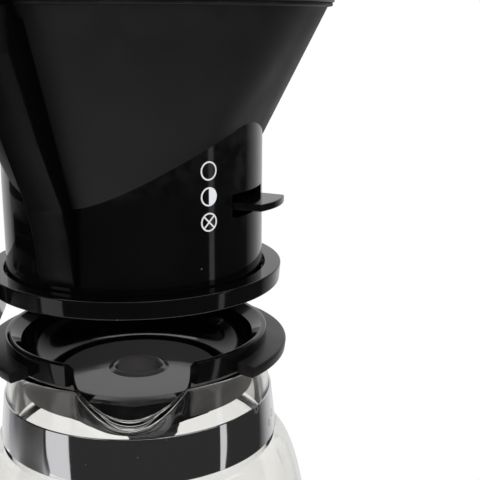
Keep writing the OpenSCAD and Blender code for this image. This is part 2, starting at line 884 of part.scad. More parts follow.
// Plug above the outlet's seat, on a stem that passes the lever's eye between two collars
module valve_plug() {
  plug_z = -nozzle_h + seat_t + valve_stroke + run;
  stem_z = lever_low - collar_gap - 2;
  color("dimgray") at_brew(0) {
    translate([0, 0, plug_z]) cylinder(r = nozzle_bore - 0.8, h = 2.4);
    translate([0, 0, stem_z]) cylinder(r = stem_r, h = plug_z - stem_z + CUT);
    translate([0, 0, stem_z]) cylinder(r = collar_r, h = 2);
    translate([0, 0, lever_low + lever_t + collar_gap]) cylinder(r = collar_r, h = 0.6);
  }
}

// Thumb plate, leg past the cone, and arm under the basket with an eye round the outlet
module drip_lever() {
  color("#0c0c0d") at_brew(lever_turn) difference() {
    union() {
      translate([0, 0, lever_z]) intersection() {
        linear_extrude(lever_t) polygon([
          [-plate_root_w / 2, -leg_r], [-plate_tip_w / 2, -lever_reach],
          [plate_tip_w / 2, -lever_reach], [plate_root_w / 2, -leg_r]
        ]);
        translate([0, plate_arc_r - lever_reach, 0]) cylinder(r = plate_arc_r, h = lever_t);
      }
      translate([-leg_w / 2, -leg_r - leg_t / 2, lever_low])
        cube([leg_w, leg_t, lever_z + lever_t - lever_low]);
      translate([-lever_w / 2, -leg_r, lever_low]) cube([lever_w, leg_r + pivot_d, lever_t]);
      translate([0, 0, lever_low]) cylinder(r = eye_r, h = lever_t);
      translate([0, pivot_d, ear_z]) x_rod(ear_r - 0.2, lever_w);
    }
    difference() {
      translate([0, 0, lever_low - CUT]) cylinder(r = eye_bore, h = lever_t + 2 * CUT);
      translate([-leg_t, -eye_r, lever_low - 2 * CUT]) cube([2 * leg_t, 2 * eye_r, lever_t + 4 * CUT]);
    }
    translate([0, 0, lever_low - CUT]) cylinder(r = stem_r + lift_gap, h = lever_t + 2 * CUT);
    translate([0, pivot_d, ear_z]) x_rod(PIN_R + run, 2 * lever_w);
  }
}

module lever_pin() {
  color("silver") at_brew(lever_turn) translate([0, pivot_d, ear_z])
    x_rod(PIN_R, lever_w + 2 * (lift_gap + ear_t));
}

// ---------- flow marks ----------

module mark_ring() {
  difference() {
    circle(mark_r);
    circle(mark_r - mark_line);
  }
}

// Full flow, half flow and closed, from the top down
module mark_outlines() {
  translate([0, mark_gap]) mark_ring();
  mark_ring();
  intersection() {
    circle(mark_r);
    translate([0, -mark_r]) square([mark_r, 2 * mark_r]);
  }
  translate([0, -mark_gap]) {
    mark_ring();
    intersection() {
      circle(mark_r);
      for (a = [45, -45]) rotate(a) square([3 * mark_r, mark_line], center = true);
    }
  }
}

module flow_marks() {
  color("white") at_brew(mark_turn) intersection() {
    translate([0, 0, mark_z - 2 * mark_gap]) tube(skirt_r + mark_t, skirt_r, 4 * mark_gap);
    translate([0, -skirt_r + 5, mark_z]) rotate([90, 0, 0]) linear_extrude(20) mark_outlines();
  }
}

// ---------- basket lid ----------

module basket_lid() {
  lip_r = rim_r - basket_wall - 3;
  color("#202022") at_brew(basket_turn) difference() {
    union() {
      translate([0, 0, rim_z]) cylinder(r = rim_r + rim_lip + 0.6, h = basket_lid_t);
      translate([0, 0, rim_z - 4]) cylinder(r = lip_r, h = 5);
      translate([0, 0, rim_z + basket_lid_t - CUT])
        cylinder(r1 = spray_r + 14, r2 = spray_r + 10, h = basket_lid_t + CUT);
      // finger tab over the handle
      translate([-tab_w / 2, -rim_r - tab_l, rim_z]) cube([tab_w, tab_l + 3, basket_lid_t]);
    }
    translate([0, 0, rim_z - 4 - CUT]) cylinder(r = lip_r - 2, h = 4 + CUT);
    translate([0, 0, rim_z - CUT])
      cylinder(r1 = spray_r + 1, r2 = spray_r + 8, h = 2 * (basket_lid_t + CUT));
  }
}

// ---------- carafe ----------

// Radius of the glass at height z between its bottom corner and its belly
function side_r(z) = belly_r - (belly_r - foot_side_r) * pow((belly_z - z) / (belly_z - corner_r), 2);

// Outline of the glass from its bottom up to the rim, moved inwards by wall
function glass_line(wall, z_end) = concat(
  [[0, wall]],
  [for (i = [0:ARC_STEPS]) let (a = -90 + 90 * i / ARC_STEPS)
    [foot_side_r - corner_r + (corner_r - wall) * cos(a), corner_r + (corner_r - wall) * sin(a)]],
  [for (i = [1:SIDE_STEPS]) let (z = corner_r + (belly_z - corner_r) * i / SIDE_STEPS)
    [side_r(z) - wall, z]],
  [for (i = [1:SHOULDER_STEPS]) let (a = 90 * i / SHOULDER_STEPS)
    [neck_foot_r + (belly_r - neck_foot_r) * cos(a) - wall,
     belly_z + (neck_z - belly_z - wall) * sin(a)]],
  [[neck_r - wall, z_end], [0, z_end]]
);

// V-shaped trough that leans outwards; its keel passes the neck at the band's top
module spout_trough(inset, h) {
  nose = spout_nose - inset;
  side_x = nose * sin(spout_half_angle) + spout_side * cos(spout_half_angle);
  side_y = -nose * cos(spout_half_angle) + spout_side * sin(spout_half_angle);
  translate([0, -neck_r - 0.4, band_high]) rotate([spout_lean, 0, 0]) translate([0, spout_nose, -20])
    linear_extrude(h) polygon(concat(
      [for (i = [0:ARC_STEPS]) let (a = -90 + spout_half_angle * (2 * i / ARC_STEPS - 1))
        [nose * cos(a), nose * sin(a)]],
      [[side_x, side_y], [-side_x, side_y]]
    ));
}

module carafe_glass() {
  color("lightgray", 0.35) at_plate(carafe_turn) difference() {
    union() {
      rotate_extrude() polygon(glass_line(0, glass_h));
      intersection() {
        spout_trough(0, 60);
        translate([-30, -80, band_high]) cube([60, 60, glass_h - band_high]);
      }
    }
    rotate_extrude() polygon(glass_line(glass_wall, glass_h + 1));
    intersection() {
      spout_trough(glass_wall, 60);
      translate([-30, -80, band_high - 2]) cube([60, 60, 60]);
    }
    // rim dips towards the spout
    translate([0, -neck_r + 3, glass_h]) rotate([atan(spout_dip / (spout_reach + 4)), 0, 0])
      translate([-40, -40, 0]) cube([80, 40, 20]);
  }
}

// Inner and outer radius of the band at height z, which follows the neck's taper
function band_in(z) =
  fit_gap + neck_foot_r + (neck_r - neck_foot_r) * (z - neck_z) / (glass_h - neck_z);
function band_out(z) = band_in(z) + band_t;

module carafe_band() {
  color("lightgray") at_plate(carafe_turn) rotate_extrude() polygon([
    [band_in(band_low), band_low], [band_out(band_low), band_low],
    [band_out(band_high), band_high], [band_in(band_high), band_high]
  ]);
}

module carafe_handle() {
  root = band_out(band_low) - 6;
  head_y = band_out(band_mid) + fit_gap + screw_grip;
  color("black") at_plate(carafe_turn) difference() {
    union() {
      // C-shaped grip
      rotate([90, 0, 90]) linear_extrude(handle_w, center = true)
        polygon([[root, band_low - 1], [root, band_high + 1], [hinge_y + hinge_ear_r, band_high + 6],
                 [handle_reach - 8, band_high + 4], [handle_reach, band_high - 8], [handle_reach - 4, 40],
                 [handle_reach - 12, 32], [handle_reach - 18, 38],
                 [handle_reach - 14, band_low + 3], [handle_reach - 20, band_low - 1]]);
      for (s = [-1, 1]) translate([s * (handle_w - hinge_ear_t) / 2, hinge_y, 0]) {
        translate([0, 0, hinge_z]) x_rod(hinge_ear_r, hinge_ear_t);
        translate([0, 0, (hinge_z + band_high) / 2])
          cube([hinge_ear_t, 2 * hinge_ear_r, hinge_z - band_high], center = true);
      }
    }
    // seat on the band
    rotate_extrude() polygon([
      [0, band_low - 10], [band_out(band_low - 10) + fit_gap, band_low - 10],
      [band_out(band_high + 10) + fit_gap, band_high + 10], [0, band_high + 10]
    ]);
    translate([0, hinge_y, hinge_z]) x_rod(PIN_R, 2 * handle_w);
    translate([0, 0, band_mid]) rotate([-90, 0, 0]) {
      cylinder(r = screw_hole_r, h = handle_reach + 40);
      translate([0, 0, head_y]) cylinder(r = screw_sink_r, h = handle_reach);
    }
  }
}

module handle_screw() {
  start = band_out(band_mid) + fit_gap;
  color("silver") at_plate(carafe_turn) translate([0, start, band_mid]) rotate([-90, 0, 0]) {
    cylinder(r = SCREW_R, h = screw_grip + 1);
    translate([0, 0, screw_grip]) cylinder(r = SCREW_HEAD_R, h = SCREW_HEAD_T);
  }
}

// Dish with a hole on the brewing axis, a raised wall and a flange that rests on the glass's rim
module carafe_lid() {
  flange_low = glass_h + lid_seat;
  flange_high = flange_low + lid_t;
  floor_top = dish_floor_z + dish_t;
  lip_top = floor_top + hole_lip_h;
  rim_top = glass_h + lid_rise;
  bowl_r = dish_r - dish_wall - dish_flat_r;
  bowl_z = floor_top + bowl_r;
  bowl_end = acos((bowl_z - flange_low) / (bowl_r + dish_t));
  color("black") at_plate(carafe_turn) difference() {
    union() {
      rotate_extrude() polygon([
        [lid_hole_r, dish_floor_z - hole_tube], [lid_hole_r + dish_t, dish_floor_z - hole_tube],
        [lid_hole_r + dish_t, dish_floor_z],
        for (i = [0:DISH_STEPS]) let (a = bowl_end * i / DISH_STEPS)
          [dish_flat_r + (bowl_r + dish_t) * sin(a), bowl_z - (bowl_r + dish_t) * cos(a)],
        [lid_r - 0.5, flange_low], [lid_r, flange_high], [neck_r + 0.4, flange_high],
        [neck_r + 0.4, rim_top], [neck_r - 1.4, rim_top],
        for (i = [DISH_STEPS:-1:0]) let (a = 90 * i / DISH_STEPS)
          [dish_flat_r + bowl_r * sin(a), bowl_z - bowl_r * cos(a)],
        [lid_hole_r + hole_lip, floor_top], [lid_hole_r + hole_lip, lip_top], [lid_hole_r, lip_top]
      ]);
      translate([0, hinge_y, hinge_z]) x_rod(lid_knuckle_r, lid_knuckle_w);
      translate([-lid_knuckle_w / 2, lid_r - 3, flange_low + lift_gap])
        cube([lid_knuckle_w, hinge_y - lid_r + 3, lid_t - 0.6]);
    }
    // opening over the spout
    difference() {
      translate([0, 0, dish_floor_z - CUT]) front_wedge(spout_opening, 90, 40);
      translate([0, 0, dish_floor_z - 2 * CUT]) cylinder(r = dish_r - 8, h = 2 * CUT + dish_t);
    }
    // flange is cut back beside the spout
    difference() {
      translate([0, 0, dish_floor_z + 4]) front_wedge(flange_opening, 90, 40);
      translate([0, 0, dish_floor_z]) cylinder(r = neck_r - 0.4, h = 40);
    }
    translate([0, hinge_y, hinge_z]) x_rod(PIN_R + run, handle_w);
  }
}

module lid_pin() {
  color("silver") at_plate(carafe_turn) translate([0, hinge_y, hinge_z]) x_rod(PIN_R, handle_w);
}

// ---------- all nodes ----------

base_housing();
bottom_cover();
foot(0);  // foot_1
foot(1);  // foot_2
foot(2);  // foot_3
foot(3);  // foot_4
cover_screws();
hot_plate();
plate_ring();
plate_heater();
plate_thermostat();
switch_bezel(0);  // switch_bezel_1
switch_bezel(1);  // switch_bezel_2
rocker(0);  // power_rocker
rocker(1);  // plate_rocker
cable_gland();
tower_shell();
tower_cap();
check_valve();
inlet_hose();
boiler();
heater_coil();
boiler_thermostat();
riser_hose();
riser_tube();
reservoir();
reservoir_gasket();
reservoir_cover();
fill_flap();
flap_pin();
outlet_arm();
spray_head();
basket_holder();
holder_screws();
basket_cone();
basket_skirt();
basket_handle();
basket_outlet();
basket_lid();
drip_lever();
lever_pin();
lever_bracket();
valve_plug();
flow_marks();
carafe_glass();
carafe_band();
carafe_handle();
handle_screw();
carafe_lid();
lid_pin();
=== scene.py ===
# %% [markdown]
# # A drip coffee maker
# The CAD model gives every part its place and its size. This lesson gives each part the surface of
# the real thing: rounded edges, drawn glass, moulded plastic and polished steel. Every new piece is
# built in millimetres about the brewing axis and is then carried into the frame, in metres.

# %% Load the frame
import math
import bmesh
import bpy
from mathutils import Matrix, Vector


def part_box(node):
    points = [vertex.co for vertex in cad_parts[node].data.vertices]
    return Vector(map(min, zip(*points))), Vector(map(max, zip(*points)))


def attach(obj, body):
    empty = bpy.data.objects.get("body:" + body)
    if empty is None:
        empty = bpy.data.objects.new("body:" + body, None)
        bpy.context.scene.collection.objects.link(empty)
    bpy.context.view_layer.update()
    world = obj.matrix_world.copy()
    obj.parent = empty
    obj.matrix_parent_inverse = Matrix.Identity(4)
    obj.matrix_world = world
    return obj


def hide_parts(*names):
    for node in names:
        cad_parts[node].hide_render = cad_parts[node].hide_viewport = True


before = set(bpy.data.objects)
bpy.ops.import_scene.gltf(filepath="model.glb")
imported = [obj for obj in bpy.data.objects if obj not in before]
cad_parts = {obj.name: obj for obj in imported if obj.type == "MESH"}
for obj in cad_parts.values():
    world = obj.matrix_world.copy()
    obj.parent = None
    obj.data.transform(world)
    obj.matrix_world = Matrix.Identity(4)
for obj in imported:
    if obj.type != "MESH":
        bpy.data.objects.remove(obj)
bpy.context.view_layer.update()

# %% [markdown]
# ## Places
# The basket, its holder, the lid and the carafe share one upright axis. The cone's box gives that
# axis and the height of the holder ring, and the glass gives the height of the hot plate. Heights
# below are measured from the ring's top for the basket, and from the hot plate for the carafe.

# %% Brewing axis and heights
MM = 0.001
cone_low, cone_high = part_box("basket_cone")
glass_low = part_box("carafe_glass")[0]
brew_x = (cone_low.x + cone_high.x) / 2
mid_y = (cone_low.y + cone_high.y) / 2
ring_top = cone_low.z
plate_top = glass_low.z
BASKET_TURN = -32
LEVER_TURN = 58.7
CARAFE_TURN = -3.5


def place(height, turn=0):
    """Matrix from millimetres about the brewing axis to the frame."""
    turned = Matrix.Rotation(math.radians(turn), 4, "Z")
    return Matrix.Translation((brew_x, mid_y, height)) @ turned @ Matrix.Scale(MM, 4)


print("axis", round(brew_x, 4), round(mid_y, 4), "ring", round(ring_top, 4), "plate", round(plate_top, 4))

# %% [markdown]
# ## Camera
# The view is from just above the holder ring, close in front of the machine and turned a little to
# the right. A long lens keeps the upright edges almost parallel, as in a catalogue.

# %% Camera
CAMERA_BACK = 0.3203
CAMERA_RISE = 0.0847
CAMERA_DOWN = 13.75
CAMERA_RIGHT = 6.71
lens = bpy.data.cameras.new("view")
lens.lens = 68.6
lens.sensor_width = 36
camera = bpy.data.objects.new("view", lens)
camera.location = (brew_x, mid_y - CAMERA_BACK, ring_top + CAMERA_RISE)
camera.rotation_euler = (math.radians(90 - CAMERA_DOWN), 0, math.radians(-CAMERA_RIGHT))
bpy.context.scene.collection.objects.link(camera)
bpy.context.scene.camera = camera
bpy.context.scene.view_settings.view_transform = "Standard"
print("camera at", [round(v, 3) for v in camera.location])

# %% [markdown]
# ## Effects shared by the finishes
# Grain, dust, smudges, brushing and dried water drops appear on several materials. Each one is a
# node group that is built once, reads the object's own coordinates, and gives out a plain value.

# %% Node group helper
def effect(name, inputs, outputs):
    """An empty shader node group with value sockets."""
    group = bpy.data.node_groups.new(name, "ShaderNodeTree")
    for label, value in inputs.items():
        socket = group.interface.new_socket(label, in_out="INPUT", socket_type="NodeSocketFloat")
        socket.default_value = value
    for label in outputs:
        group.interface.new_socket(label, in_out="OUTPUT", socket_type="NodeSocketFloat")
    return group, group.nodes.new("NodeGroupInput"), group.nodes.new("NodeGroupOutput")


def add(tree, kind, links=(), **settings):
    """A node with its settings, and links given as (socket, source)."""
    node = tree.nodes.new(kind)
    for key, value in settings.items():
        setattr(node, key, value)
    for socket, source in links:
        if isinstance(source, bpy.types.NodeSocket):
            tree.links.new(source, node.inputs[socket])
        else:
            node.inputs[socket].default_value = source
    return node


def coordinates(tree, stretch=(1, 1, 1)):
    """Object coordinates, stretched for a pattern that runs one way."""
    source = add(tree, "ShaderNodeTexCoord")
    mapped = add(tree, "ShaderNodeMapping", [("Vector", source.outputs["Object"]), ("Scale", stretch)])
    return mapped.outputs["Vector"]


def ranged(tree, value, low, high, to_low=0.0, to_high=1.0):
    """Value, spread from low..high over to_low..to_high."""
    links = [("Value", value), ("From Min", low), ("From Max", high),
             ("To Min", to_low), ("To Max", to_high)]
    return add(tree, "ShaderNodeMapRange", links, clamp=True).outputs["Result"]


def times(tree, first, second):
    return add(tree, "ShaderNodeMath", [(0, first), (1, second)], operation="MULTIPLY").outputs[0]


# %% Moulded grain and smudges
grain, taken, given = effect("fine grain", {"Scale": 1500.0}, ["Height"])
where = coordinates(grain)
noise = add(grain, "ShaderNodeTexNoise", [("Vector", where), ("Scale", taken.outputs["Scale"]),
                                          ("Detail", 3.0), ("Roughness", 0.6)])
grain.links.new(noise.outputs["Fac"], given.inputs["Height"])

smudges, taken, given = effect("smudges", {"Scale": 40.0, "Sharpness": 0.2}, ["Mask"])
where = coordinates(smudges)
noise = add(smudges, "ShaderNodeTexNoise", [("Vector", where), ("Scale", taken.outputs["Scale"]),
                                            ("Detail", 5.0), ("Distortion", 0.6)])
low = add(smudges, "ShaderNodeMath", [(0, 0.55), (1, taken.outputs["Sharpness"])], operation="SUBTRACT")
high = add(smudges, "ShaderNodeMath", [(0, 0.55), (1, taken.outputs["Sharpness"])], operation="ADD")
mask = ranged(smudges, noise.outputs["Fac"], low.outputs[0], high.outputs[0])
smudges.links.new(mask, given.inputs["Mask"])
print("effects", grain.name, smudges.name)

# %% Dust specks and dried drops
def cells(tree, scale, share):
    """Distance to the middle of each random cell, and 1 in the share of cells that count."""
    where = coordinates(tree)
    spots = add(tree, "ShaderNodeTexVoronoi", [("Vector", where), ("Scale", scale)])
    apart = add(tree, "ShaderNodeSeparateColor", [("Color", spots.outputs["Color"])])
    kept = add(tree, "ShaderNodeMath", [(0, apart.outputs["Red"]), (1, share)], operation="LESS_THAN")
    return spots.outputs["Distance"], kept.outputs[0]


dust, taken, given = effect("dust", {"Scale": 260.0, "Share": 0.1, "Size": 0.1}, ["Mask"])
distance, kept = cells(dust, taken.outputs["Scale"], taken.outputs["Share"])
inner = times(dust, taken.outputs["Size"], 0.5)
speck = ranged(dust, distance, inner, taken.outputs["Size"], 1.0, 0.0)
dust.links.new(times(dust, speck, kept), given.inputs["Mask"])

drops, taken, given = effect("dried drops", {"Scale": 120.0, "Share": 0.2, "Size": 0.3}, ["Mask"])
distance, kept = cells(drops, taken.outputs["Scale"], taken.outputs["Share"])
off_rim = add(drops, "ShaderNodeMath", [(0, distance), (1, taken.outputs["Size"])], operation="SUBTRACT")
gap = add(drops, "ShaderNodeMath", [(0, off_rim.outputs[0])], operation="ABSOLUTE")
rim = ranged(drops, gap.outputs[0], 0.0, 0.09, 1.0, 0.0)
film = ranged(drops, distance, 0.0, taken.outputs["Size"], 0.45, 0.2)
inside = add(drops, "ShaderNodeMath", [(0, distance), (1, taken.outputs["Size"])], operation="LESS_THAN")
both = add(drops, "ShaderNodeMath", [(0, rim), (1, times(drops, film, inside.outputs[0]))],
           operation="MAXIMUM")
drops.links.new(times(drops, both.outputs[0], kept), given.inputs["Mask"])
print("effects", dust.name, drops.name)

# %% Brushing and worn edges
brushing, taken, given = effect("brushing", {"Across": 900.0, "Along": 12.0}, ["Height"])
source = add(brushing, "ShaderNodeTexCoord")
apart = add(brushing, "ShaderNodeSeparateXYZ", [("Vector", source.outputs["Object"])])
joined = add(brushing, "ShaderNodeCombineXYZ", [
    ("X", times(brushing, apart.outputs["X"], taken.outputs["Along"])),
    ("Y", times(brushing, apart.outputs["Y"], taken.outputs["Along"])),
    ("Z", times(brushing, apart.outputs["Z"], taken.outputs["Across"]))])
noise = add(brushing, "ShaderNodeTexNoise", [("Vector", joined.outputs[0]), ("Scale", 1.0),
                                             ("Detail", 4.0), ("Roughness", 0.65)])
brushing.links.new(noise.outputs["Fac"], given.inputs["Height"])

wear, taken, given = effect("edge wear", {"Reach": 0.08}, ["Mask"])
shape = add(wear, "ShaderNodeNewGeometry")
top = add(wear, "ShaderNodeMath", [(0, 0.52), (1, taken.outputs["Reach"])], operation="ADD")
edge = ranged(wear, shape.outputs["Pointiness"], 0.52, top.outputs[0])
broken = add(wear, "ShaderNodeTexNoise", [("Vector", coordinates(wear)), ("Scale", 220.0), ("Detail", 4.0)])
patchy = ranged(wear, broken.outputs["Fac"], 0.4, 0.62)
wear.links.new(times(wear, edge, patchy), given.inputs["Mask"])
print("effects", brushing.name, wear.name)

# %% [markdown]
# ## Finishes
# A material is a Principled shader with its constants on its own sockets. What changes over the
# surface comes from the effects: it mixes the colour, moves the roughness, or bends the normal
# through a Bump node.

# %% Material helpers
def finish(name, color, roughness, **constants):
    """A material with a Principled shader; returns the material, its tree and its shader."""
    material = bpy.data.materials.new(name)
    material.use_nodes = True
    tree = material.node_tree
    shader = tree.nodes["Principled BSDF"]
    shader.inputs["Base Color"].default_value = (*color, 1)
    shader.inputs["Roughness"].default_value = roughness
    for label, value in constants.items():
        shader.inputs[label.replace("_", " ")].default_value = value
    return material, tree, shader


def effect_node(tree, group, **values):
    node = add(tree, "ShaderNodeGroup", node_tree=group)
    for label, value in values.items():
        node.inputs[label].default_value = value
    return node


def vary_roughness(tree, shader, mask, low, high):
    tree.links.new(ranged(tree, mask, 0.0, 1.0, low, high), shader.inputs["Roughness"])


def mix_color(tree, mask, first, second):
    node = add(tree, "ShaderNodeMix", data_type="RGBA")
    for socket, value in ((6, first), (7, second)):
        if isinstance(value, bpy.types.NodeSocket):
            tree.links.new(value, node.inputs[socket])
        else:
            node.inputs[socket].default_value = (*value, 1)
    tree.links.new(mask, node.inputs[0])
    return node.outputs[2]


def vary_color(tree, shader, mask, first, second):
    color = mix_color(tree, mask, first, second)
    tree.links.new(color, shader.inputs["Base Color"])
    return color


def raise_bump(tree, shader, height, strength, distance):
    links = [("Height", height), ("Strength", strength), ("Distance", distance)]
    bump = add(tree, "ShaderNodeBump", links)
    tree.links.new(bump.outputs["Normal"], shader.inputs["Normal"])


# %% Black plastics
def moulded_plastic(name, color, roughness, grain_depth, dusty=0.05, spread=0.06, shine=0.5):
    """Black moulded plastic: grain, handled smudges, a little dust and pale worn edges."""
    material, tree, shader = finish(name, color, roughness, Specular_IOR_Level=shine)
    texture = effect_node(tree, grain, Scale=1700)
    raise_bump(tree, shader, texture.outputs["Height"], grain_depth, 0.0002)
    touched = effect_node(tree, smudges, Scale=45, Sharpness=0.18)
    vary_roughness(tree, shader, touched.outputs["Mask"], roughness - spread, roughness + spread)
    specks = effect_node(tree, dust, Scale=150, Share=dusty, Size=0.07)
    worn = effect_node(tree, wear, Reach=0.12)
    pale = tuple(3.2 * part + 0.02 for part in color)
    shade = tuple(1.5 * part for part in color)
    base = mix_color(tree, touched.outputs["Mask"], color, shade)
    edged = mix_color(tree, times(tree, worn.outputs["Mask"], 0.35), base, pale)
    dusted = mix_color(tree, times(tree, specks.outputs["Mask"], 0.5), edged, (0.22, 0.21, 0.2))
    tree.links.new(dusted, shader.inputs["Base Color"])
    return material


cone_matte = moulded_plastic("cone_matte", (0.0078, 0.0068, 0.0072), 0.52, 0.22, dusty=0.04, shine=0.3)
handle_satin = moulded_plastic("handle_satin", (0.0012, 0.0011, 0.0012), 0.3, 0.1, shine=0.12)
black_satin = moulded_plastic("black_satin", (0.012, 0.0115, 0.012), 0.4, 0.16)
flange_satin = moulded_plastic("flange_satin", (0.006, 0.0052, 0.0055), 0.36, 0.1, shine=0.4)
plug_satin = moulded_plastic("plug_satin", (0.085, 0.078, 0.08), 0.4, 0.1)
gloss_black = moulded_plastic("gloss_black", (0.0022, 0.002, 0.0022), 0.085, 0.012, dusty=0.09, spread=0.03)
rocker_plastic = moulded_plastic("rocker_plastic", (0.006, 0.006, 0.007), 0.16, 0.02, spread=0.04)
foot_rubber = moulded_plastic("foot_rubber", (0.016, 0.016, 0.016), 0.72, 0.35)
plate_coat = moulded_plastic("plate_coat", (0.018, 0.018, 0.02), 0.46, 0.4, dusty=0.03)
cover_paint = moulded_plastic("cover_paint", (0.05, 0.05, 0.055), 0.55, 0.3)
print("black plastics ready")

# %% [markdown]
# The flat middle of the lid's dish is painted a lighter grey than its wall: a painted reflection that
# stands in for light seen in its gloss there.

# %% Dish with a painted reflection on its flat middle
dish_gloss = moulded_plastic("dish_gloss", (0.0022, 0.002, 0.0022), 0.085, 0.012, dusty=0.09, spread=0.03)
tree = dish_gloss.node_tree
shader = tree.nodes["Principled BSDF"]
colour_under_painted_reflection = shader.inputs["Base Color"].links[0].from_socket
where = add(tree, "ShaderNodeTexCoord")
aside = add(tree, "ShaderNodeVectorMath", [(0, where.outputs["Object"]), (1, (brew_x, mid_y, 0))],
            operation="SUBTRACT")
flat = add(tree, "ShaderNodeVectorMath", [(0, aside.outputs[0]), (1, (1, 1, 0))], operation="MULTIPLY")
away = add(tree, "ShaderNodeVectorMath", [(0, flat.outputs[0])], operation="LENGTH")
# painted reflection: inside FLAT_R the dish's colour is mixed to a light grey that stands in for reflected
# light
painted_reflection_mask = ranged(tree, away.outputs["Value"], 0.0282, 0.0288, 1.0, 0.0)
tree.links.new(mix_color(tree, painted_reflection_mask, colour_under_painted_reflection, (0.14, 0.132, 0.132)), shader.inputs["Base Color"])

# %% Metals
def bare_metal(name, color, roughness, across, depth, spots=0.0):
    """Metal with fine lines that run round or along the part, and dried drops if wanted."""
    material, tree, shader = finish(name, color, roughness, Metallic=1.0)
    lines = effect_node(tree, brushing, Across=across, Along=14)
    raise_bump(tree, shader, lines.outputs["Height"], depth, 0.0002)
    touched = effect_node(tree, smudges, Scale=25, Sharpness=0.2)
    marks = effect_node(tree, drops, Scale=130, Share=spots, Size=0.22)
    soiled = add(tree, "ShaderNodeMath", [(0, times(tree, touched.outputs["Mask"], 0.3)),
                                          (1, marks.outputs["Mask"])], operation="MAXIMUM")
    vary_roughness(tree, shader, soiled.outputs[0], roughness, roughness + 0.3)
    vary_color(tree, shader, soiled.outputs[0], color, tuple(0.72 * part for part in color))
    return material


brushed_metal = bare_metal("brushed_metal", (0.62, 0.62, 0.63), 0.3, 1400, 0.12)
zinc_screw = bare_metal("zinc_screw", (0.66, 0.66, 0.68), 0.28, 2500, 0.08)
heater_metal = bare_metal("heater_metal", (0.3, 0.29, 0.3), 0.5, 900, 0.3)
boiler_metal = bare_metal("boiler_metal", (0.7, 0.7, 0.71), 0.38, 1200, 0.2)
print("metals ready")

# %% [markdown]
# The carafe's band is polished, so what shows is the room in it. Rolled sheet is never quite flat:
# slow ripples that run up and down bend the reflections into wavy upright streaks.

# %% Polished band
band_steel, tree, shader = finish("band_steel", (0.78, 0.78, 0.8), 0.05, Metallic=1.0)
where = coordinates(tree, (1, 1, 0.08))
ripples = add(tree, "ShaderNodeTexNoise", [("Vector", where), ("Scale", 55.0), ("Detail", 2.0)])
raise_bump(tree, shader, ripples.outputs["Fac"], 0.12, 0.004)
marks = effect_node(tree, drops, Scale=150, Share=0.16, Size=0.2)
specks = effect_node(tree, dust, Scale=420, Share=0.12, Size=0.13)
soiled = add(tree, "ShaderNodeMath", [(0, marks.outputs["Mask"]), (1, specks.outputs["Mask"])],
             operation="MAXIMUM")
vary_roughness(tree, shader, soiled.outputs[0], 0.05, 0.42)
vary_color(tree, shader, soiled.outputs[0], (0.78, 0.78, 0.8), (0.62, 0.64, 0.68))
print("band ready")

# %% Glass and clear plastic
def clear(name, color, ior, roughness=0.0, streaks=0.0):
    """Clear glass or plastic with slow waves in its surface."""
    material, tree, shader = finish(name, color, roughness, IOR=ior, Transmission_Weight=1.0)
    waves = add(tree, "ShaderNodeTexNoise", [("Vector", coordinates(tree, (1, 1, 0.25))), ("Scale", 22.0),
                                             ("Detail", 2.0)])
    raise_bump(tree, shader, waves.outputs["Fac"], streaks, 0.002)
    worn = effect_node(tree, smudges, Scale=18, Sharpness=0.12)
    shade = tuple(0.96 * part for part in color)
    vary_color(tree, shader, worn.outputs["Mask"], color, shade)
    return material


carafe_clear = clear("carafe_clear", (0.955, 0.95, 0.93), 1.47, streaks=0.06)
tank_clear = clear("tank_clear", (0.88, 0.92, 0.94), 1.5, roughness=0.06, streaks=0.1)
tube_glass = clear("tube_glass", (0.93, 0.96, 0.97), 1.47)
print("clear finishes ready")

# %% Plain moulded and printed finishes
def plain(name, color, roughness, scale=700, depth=0.1):
    """Pale parts inside the machine, and the white print."""
    material, tree, shader = finish(name, color, roughness)
    texture = effect_node(tree, grain, Scale=scale)
    raise_bump(tree, shader, texture.outputs["Height"], depth, 0.0002)
    aged = effect_node(tree, smudges, Scale=60, Sharpness=0.25)
    vary_color(tree, shader, aged.outputs["Mask"], color, tuple(0.86 * part for part in color))
    vary_roughness(tree, shader, aged.outputs["Mask"], roughness - 0.05, roughness + 0.08)
    return material


mark_white = plain("mark_white", (0.82, 0.83, 0.86), 0.4, depth=0.03)
thermostat_clay = plain("thermostat_clay", (0.78, 0.72, 0.58), 0.6)
valve_body = plain("valve_body", (0.8, 0.8, 0.78), 0.42)
silicone = plain("silicone", (0.76, 0.75, 0.71), 0.5)
valve_grey = plain("valve_grey", (0.14, 0.14, 0.15), 0.5)
print("plain finishes ready")

# %% [markdown]
# ## Making pieces
# A new piece is drawn as a bmesh in millimetres. It is turned into its place, its normals are made
# to point outwards, and it is shaded smooth with creases only at real edges.

# %% Piece helpers
def cleaned(bm):
    bmesh.ops.remove_doubles(bm, verts=bm.verts, dist=0.0005)
    bmesh.ops.recalc_face_normals(bm, faces=bm.faces)
    return bm


def new_piece(name, bm, body, material, nodes, crease=32):
    """An object from bm, which is in frame metres already; it stands for the CAD nodes."""
    mesh = bpy.data.meshes.new(name)
    bm.to_mesh(mesh)
    bm.free()
    mesh.shade_smooth()
    mesh.set_sharp_from_angle(angle=math.radians(crease))
    mesh.materials.append(material)
    piece = bpy.data.objects.new(name, mesh)
    bpy.context.scene.collection.objects.link(piece)
    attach(piece, body)
    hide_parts(*nodes)
    print(name, len(mesh.polygons), "faces")
    return piece


def rounded_outline(corners, steps=4):
    """Closed outline from (x, z, corner radius)."""
    points = []
    for number, (x, z, radius) in enumerate(corners):
        here = Vector((x, z))
        if radius == 0:
            points.append(here)
            continue
        before = (Vector(corners[number - 1][:2]) - here).normalized()
        after = (Vector(corners[(number + 1) % len(corners)][:2]) - here).normalized()
        half = before.angle(after) / 2
        centre = here + (before + after).normalized() * radius / math.sin(half)
        start = here + before * radius / math.tan(half) - centre
        end = here + after * radius / math.tan(half) - centre
        turn = math.atan2(start.cross(end), start.dot(end))
        points += [centre + Matrix.Rotation(turn * step / steps, 2) @ start for step in range(steps + 1)]
    return points


